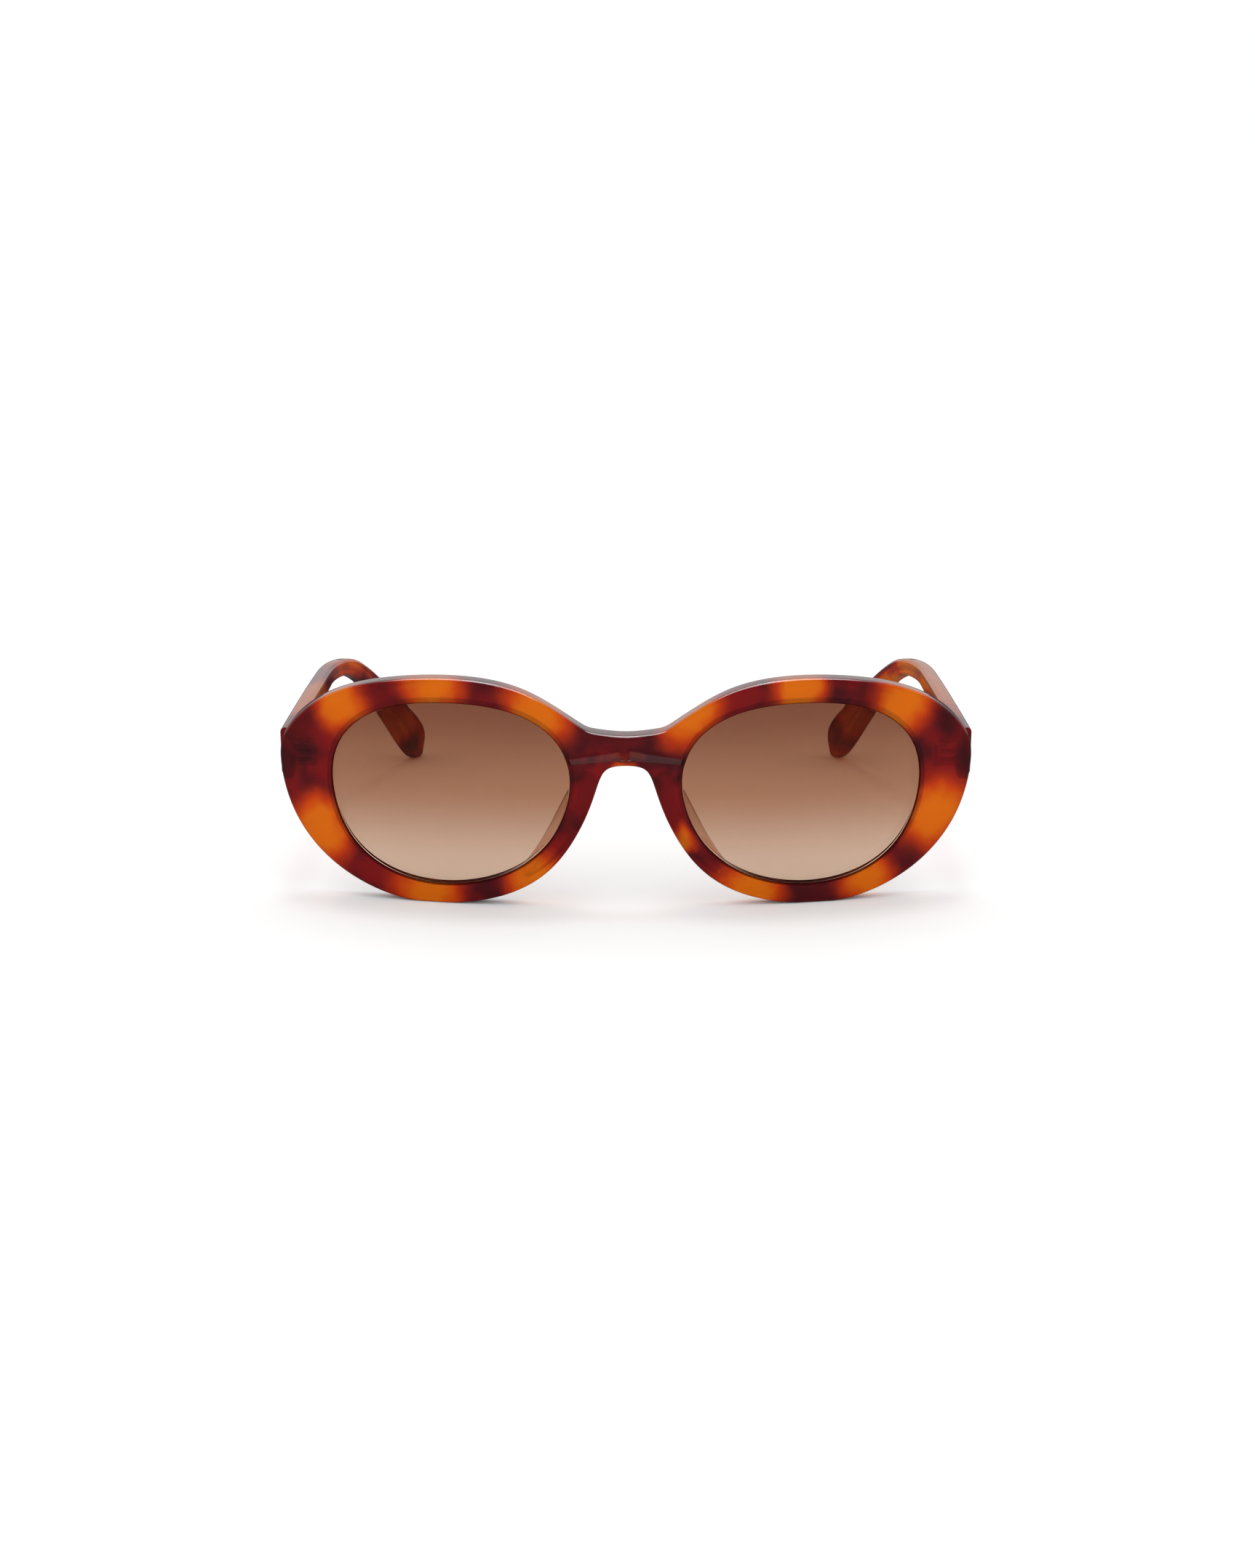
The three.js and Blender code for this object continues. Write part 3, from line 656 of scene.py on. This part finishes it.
def patch(nodes, place, x, z, length, width, turn):
    """1 in the middle of a patch, falling to 0 at its edge."""
    middle = (np.array([x, 0, z]) + SHIFT) * MM
    away = nodes.vector("SUBTRACT", place, tuple(middle))
    c, s = math.cos(math.radians(turn)), math.sin(math.radians(turn))
    along = nodes.vector("DOT_PRODUCT", away, (c / (length * MM), 0, s / (length * MM)))
    across = nodes.vector("DOT_PRODUCT", away, (-s / (width * MM), 0, c / (width * MM)))
    reach = nodes.math("ADD", nodes.math("MULTIPLY", along, along), nodes.math("MULTIPLY", across, across))
    return nodes.ramp(nodes.math("SQRT", reach), 0.0, PATCH_FADE, (1, 0))


def tortoise_color(nodes, patches):
    """Amber clouds in red-brown, with near-black purple smoke: placed patches or plain noise. The placed
    patches also hold painted shade and one painted glow.
    """
    wobble = nodes.vector("SUBTRACT", nodes.noise(120, 2, output="Color"), (0.5, 0.5, 0.5))
    place = nodes.vector("ADD", nodes.position, nodes.vector("SCALE", wobble, WOBBLE))
    stretched = nodes.vector("MULTIPLY", place, SPOT_STRETCH)
    smoke_and_shade = nodes.ramp(nodes.noise(95, 3, stretched), 0.38, 0.62)
    if patches:
        # the near-black patches: smoke, and painted shade behind the temples' butts and round the nose arch
        for item in SMOKE_AND_SHADE:
            smoke_and_shade = nodes.math("MAXIMUM", patch(nodes, place, *item), smoke_and_shade)
        amber_and_glow = 0.0
        # the amber patches, the last of them a painted glow at the top of the nose arch
        for item in AMBER_AND_GLOW:
            amber_and_glow = nodes.math("MAXIMUM", patch(nodes, place, *item), amber_and_glow)
        cloud = nodes.math("ADD", 0.6, nodes.math("MULTIPLY", nodes.noise(170, 3, place), 0.95))
        amber_and_glow = nodes.math("MULTIPLY", amber_and_glow, cloud, clamp=True)
    else:
        spots = nodes.ramp(nodes.noise(62, 2.5, stretched), 0.36, 0.66)
        amber_and_glow = nodes.math("MULTIPLY", spots, nodes.ramp(nodes.part(place, "Y"), *RED_BUTT))
    calm = nodes.math("MULTIPLY", smoke_and_shade, nodes.ramp(amber_and_glow, 0.0, 0.5, (1, 0)))
    ground = nodes.mix(calm, RED_COLOR, DARK_COLOR)
    warm = nodes.mix(nodes.ramp(amber_and_glow, 0, 0.65), ground, ORANGE_COLOR)
    return nodes.mix(nodes.ramp(amber_and_glow, 0.4, 0.95), warm, AMBER_COLOR)


def see_through(nodes, shader, tint):
    """Lets light cast through the piece, tinted, where glass alone would cast a solid shadow."""
    clear = nodes.new("ShaderNodeBsdfTransparent")
    nodes.set(clear.inputs["Color"], tint)
    path = nodes.new("ShaderNodeLightPath")
    mixer = nodes.new("ShaderNodeMixShader")
    nodes.link(path.outputs["Is Shadow Ray"], mixer.inputs[0])
    nodes.link(shader, mixer.inputs[1])
    nodes.link(clear.outputs[0], mixer.inputs[2])
    nodes.surface(mixer.outputs[0])


def polished(nodes, color, clearness, cloudiness):
    """Hand-polished acetate: a faint ripple, a glossy skin, and a body that blurs what is behind it."""
    ripple = nodes.bump(nodes.noise(260, 2), 0.00002, 0.35)
    blur = nodes.ramp(nodes.noise(900, 4), 0.3, 0.8, (0.8 * cloudiness, 1.3 * cloudiness))
    shader = nodes.principled(Base_Color=color, Roughness=blur, Normal=ripple, IOR=1.49,
                              Specular_IOR_Level=0.1, Transmission_Weight=clearness, Coat_Weight=1.0,
                              Coat_Roughness=0.03, Coat_IOR=1.49, Coat_Normal=ripple)
    see_through(nodes, shader, nodes.mix(0.3, (1, 1, 1), color))


BODY_COLOR = (0.92, 0.5, 0.3, 1)
BODY_DENSITY = 100


def acetate(name, patches):
    """Tortoiseshell acetate. Its body also takes light away with depth, most of it blue."""
    nodes = Nodes(name)
    polished(nodes, tortoise_color(nodes, patches), 0.55, 0.14)
    volume = nodes.new("ShaderNodeVolumeAbsorption")
    volume.inputs["Color"].default_value = BODY_COLOR
    volume.inputs["Density"].default_value = BODY_DENSITY
    nodes.link(volume.outputs[0], nodes.output.inputs["Volume"])
    return nodes.material


def groove_shade_acetate():
    """The wall of the lens opening and its groove: unpolished, and coloured near-black as painted shade,
    since little light gets through there.
    """
    nodes = Nodes("groove_painted_shade")
    # painted shade: the tortoise colour is mostly replaced by near-black
    color = nodes.mix(0.12, (0.03, 0.003, 0.003), tortoise_color(nodes, True))
    rough = nodes.ramp(nodes.noise(1500, 3), 0.3, 0.7, (0.4, 0.6))
    shader = nodes.principled(Base_Color=color, Roughness=rough, Specular_IOR_Level=0.0,
                              Normal=nodes.bump(nodes.noise(2200, 3), 0.00001, 0.5))
    nodes.surface(shader)
    return nodes.material


def pad_acetate():
    """The pads are of a clear, faintly cloudy honey acetate."""
    nodes = Nodes("pad_honey")
    polished(nodes, nodes.mix(nodes.noise(220, 3), (0.95, 0.78, 0.66), (0.85, 0.52, 0.38)), 0.95, 0.04)
    return nodes.material


LENS_TOP_COLOR = (0.185, 0.068, 0.038)
LENS_MIDDLE_COLOR = (0.36, 0.176, 0.103)
LENS_LOW_COLOR = (0.69, 0.505, 0.38)


def lens_tint():
    """A brown tint that fades downwards, in two stretches that overlap by a few millimetres."""
    nodes = Nodes("lens_tint")
    low, high = (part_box("lens_left")[k].z for k in (0, 1))
    middle = (low + high) / 2
    drift = nodes.math("MULTIPLY", nodes.math("SUBTRACT", nodes.noise(60, 2), 0.5), 0.001)
    level = nodes.math("ADD", nodes.part(nodes.position, "Z"), drift)
    lower = nodes.mix(nodes.ramp(level, low, middle + 0.002), LENS_LOW_COLOR, LENS_MIDDLE_COLOR)
    color = nodes.mix(nodes.ramp(level, middle - 0.003, high), lower, LENS_TOP_COLOR)
    glass = nodes.principled(Base_Color=color, Roughness=0.0, IOR=1.5, Transmission_Weight=1.0)
    see_through(nodes, glass, color)
    return nodes.material


def lens_edge_shade():
    """The lens's bevel is ground, not polished; its near-black colour is painted shade along the rim's inner
    edge.
    """
    nodes = Nodes("lens_edge_painted_shade")
    # painted shade: near-black browns rather than the lens's own tint
    color = nodes.mix(nodes.noise(600, 3), (0.05, 0.008, 0.005), (0.09, 0.018, 0.010))
    rough = nodes.ramp(nodes.noise(1800, 3), 0.3, 0.7, (0.5, 0.7))
    shader = nodes.principled(Base_Color=color, Roughness=rough, Specular_IOR_Level=0.1,
                              Normal=nodes.bump(nodes.noise(2500, 3), 0.00001, 0.5))
    nodes.surface(shader)
    return nodes.material


def metal(name, color, roughness, scale, stretch):
    """Worn metal: drawn or tumbled grain, and blotches of tarnish."""
    nodes = Nodes(name)
    along = nodes.vector("MULTIPLY", nodes.position, stretch)
    grain = nodes.noise(scale, 4, along, roughness=0.6)
    blotch = nodes.ramp(nodes.noise(700, 3), 0.3, 0.75)
    shade = nodes.mix(blotch, tuple(c * 0.8 for c in color), color)
    rough = nodes.math("ADD", roughness, nodes.math("MULTIPLY", grain, 0.18))
    shader = nodes.principled(Base_Color=shade, Metallic=0.85, Roughness=rough,
                              Normal=nodes.bump(grain, 0.00002, 0.6))
    nodes.surface(shader)
    return nodes.material


def plain_floor():
    """White paper. It is dimmer in reflections, as if dark cards stood beside the camera.

    Light that passes through a piece is marked as glossy too, and has to see the paper white.
    """
    nodes = Nodes("floor_paper")
    paper = nodes.mix(nodes.noise(14, 3), (0.93, 0.93, 0.93), (0.96, 0.96, 0.96))
    path = nodes.new("ShaderNodeLightPath")
    glossy, passed = path.outputs["Is Glossy Ray"], path.outputs["Is Transmission Ray"]
    tone = nodes.mix(nodes.math("SUBTRACT", glossy, passed, clamp=True), paper, (0.06, 0.06, 0.06))
    shader = nodes.principled(Base_Color=tone, Roughness=0.75, Specular_IOR_Level=0.0,
                              Normal=nodes.bump(nodes.noise(900, 3), 0.0001, 0.1))
    nodes.surface(shader)
    return nodes.material


# ---- Scene ----

def place(obj, body, slot, materials, *replaced):
    """Gives a piece its materials, which its faces already point to by number, and its place in the frame."""
    sides = [face.material_index for face in obj.data.polygons]
    obj.data.materials.clear()
    for material in materials if isinstance(materials, tuple) else (materials,):
        obj.data.materials.append(material)
    obj.data.polygons.foreach_set("material_index", sides)
    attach(obj, body)
    if replaced:
        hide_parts(*replaced)


def build_object():
    front_mix = acetate("front_tortoise", True)
    temple_mix = acetate("temple_tortoise", False)
    pad_mix = pad_acetate()
    lens_mix = lens_tint()
    edge_shade_mix = lens_edge_shade()
    hinge_mix = metal("hinge_metal", (0.70, 0.67, 0.62), 0.22, 2500, (1, 1, 0.15))
    screw_mix = metal("screw_metal", (0.60, 0.60, 0.60), 0.18, 3500, (1, 1, 1))
    core_mix = metal("core_wire", (0.62, 0.60, 0.57), 0.25, 4000, (1, 0.05, 0.3))
    body = "front_assembly"
    place(build_front(), body, "acetate", (front_mix, groove_shade_acetate()), "front")
    for name, side in SIDES:
        arm = f"{name}_arm"
        lens = build_lens(f"lens_{name}_pane", side)
        place(lens, body, "lens_tint", (lens_mix, edge_shade_mix), f"lens_{name}")
        pad = build_pad(f"nose_pad_{name}_fin", side)
        place(pad, body, "acetate", pad_mix, f"nose_pad_{name}")
        temple = build_temple(f"temple_{name}_acetate", side)
        place(temple, arm, "acetate", temple_mix, f"temple_{name}")
        leaf = rounded_copy(f"front_hinge_{name}", f"front_hinge_{name}_leaf", FRONT_LEAF_ROUND)
        place(leaf, body, "hinge_steel", hinge_mix, f"front_hinge_{name}")
        leaf = rounded_copy(f"temple_hinge_{name}", f"temple_hinge_{name}_leaf", TEMPLE_LEAF_ROUND)
        place(stand_proud(leaf), arm, "hinge_steel", hinge_mix, f"temple_hinge_{name}")
        screw = build_screw(f"hinge_screw_{name}_slotted", side)
        place(screw, body, "screw_steel", screw_mix, f"hinge_screw_{name}")
        core = frame["nodes"][f"temple_core_{name}"].data.materials
        core.clear()
        core.append(core_mix)


def add_floor():
    """A sheet that reaches the horizon."""
    bpy.ops.mesh.primitive_plane_add(size=60, location=(0, 0, 0))
    floor = bpy.context.object
    floor.name = "floor"
    floor.data.materials.append(plain_floor())


def add_sun(name, height, azimuth, spread, power):
    """A very soft distant light, the same everywhere on the paper. Angles are in degrees."""
    light = bpy.data.lights.new(name, "SUN")
    light.angle = math.radians(spread)
    light.energy = power
    obj = bpy.data.objects.new(name, light)
    obj.rotation_euler = (math.radians(height - 90), 0, math.radians(azimuth))
    bpy.context.scene.collection.objects.link(obj)


FADE = (-0.5, 0.3)        # the directions' Y between which the world goes from its front to its back value
SOFTBOX = (0.84, 0.9)     # the directions' Z between which the softbox overhead begins
MIRRORED = (0.04, 0.5, 5.0)   # what polished surfaces reflect: in front, behind and the softbox
LIT = (1.15, 1.0)             # what matt surfaces are lit with: in front and behind


def add_world():
    """White where it is seen. Polished surfaces mirror it dark in front, with a softbox overhead.

    It isn't sampled as a light, because that sampling ignores which kind of ray is asking.
    """
    world = bpy.data.worlds.new("studio")
    bpy.context.scene.world = world
    world.cycles.sampling_method = "NONE"
    world.use_nodes = True
    tree = world.node_tree
    tree.nodes.clear()
    direction = tree.nodes.new("ShaderNodeTexCoord").outputs["Generated"]
    split = tree.nodes.new("ShaderNodeSeparateXYZ")
    tree.links.new(direction, split.inputs[0])
    path = tree.nodes.new("ShaderNodeLightPath").outputs

    def glow(axis, kind, reach, values):
        strength = tree.nodes.new("ShaderNodeMapRange")
        strength.interpolation_type = kind
        tree.links.new(split.outputs[axis], strength.inputs["Value"])
        for socket, value in zip(("From Min", "From Max", "To Min", "To Max"), (*reach, *values)):
            strength.inputs[socket].default_value = value
        shade = tree.nodes.new("ShaderNodeBackground")
        shade.inputs["Color"].default_value = (1, 1, 1, 1)
        tree.links.new(strength.outputs[0], shade.inputs["Strength"])
        return shade.outputs[0]

    def background(front, back, above=0.0):
        around = glow("Y", "SMOOTHSTEP", FADE, (front, back))
        if not above:
            return around
        both = tree.nodes.new("ShaderNodeAddShader")
        tree.links.new(around, both.inputs[0])
        tree.links.new(glow("Z", "LINEAR", SOFTBOX, (0, above)), both.inputs[1])
        return both.outputs[0]

    def choose(flag, yes, no):
        mixer = tree.nodes.new("ShaderNodeMixShader")
        tree.links.new(path[flag], mixer.inputs[0])
        tree.links.new(no, mixer.inputs[1])
        tree.links.new(yes, mixer.inputs[2])
        return mixer.outputs[0]

    plain = background(1.0, 1.0)
    seen = choose("Is Glossy Ray", background(*MIRRORED), background(*LIT))
    seen = choose("Is Transmission Ray", plain, seen)
    seen = choose("Is Camera Ray", plain, seen)
    output = tree.nodes.new("ShaderNodeOutputWorld")
    tree.links.new(seen, output.inputs["Surface"])


CAMERA_LENS = 56.3
CAMERA_DISTANCE = 0.5
CAMERA_HEIGHT = math.radians(14)
CAMERA_AIM = (np.array([0.33, 0, 27.3]) + SHIFT) * MM


def add_camera():
    data = bpy.data.cameras.new("camera")
    data.lens = CAMERA_LENS
    data.sensor_width = 36
    data.clip_start = 0.01
    camera = bpy.data.objects.new("camera", data)
    aim = Vector(CAMERA_AIM)
    camera.location = aim + Vector((0, -math.cos(CAMERA_HEIGHT), math.sin(CAMERA_HEIGHT))) * CAMERA_DISTANCE
    camera.rotation_euler = (aim - camera.location).to_track_quat("-Z", "Y").to_euler()
    bpy.context.scene.collection.objects.link(camera)
    bpy.context.scene.camera = camera


build_object()
add_floor()
add_world()
add_sun("softbox", 78, 0, 14, 0.4)
add_camera()
bpy.context.scene.view_settings.view_transform = "Standard"
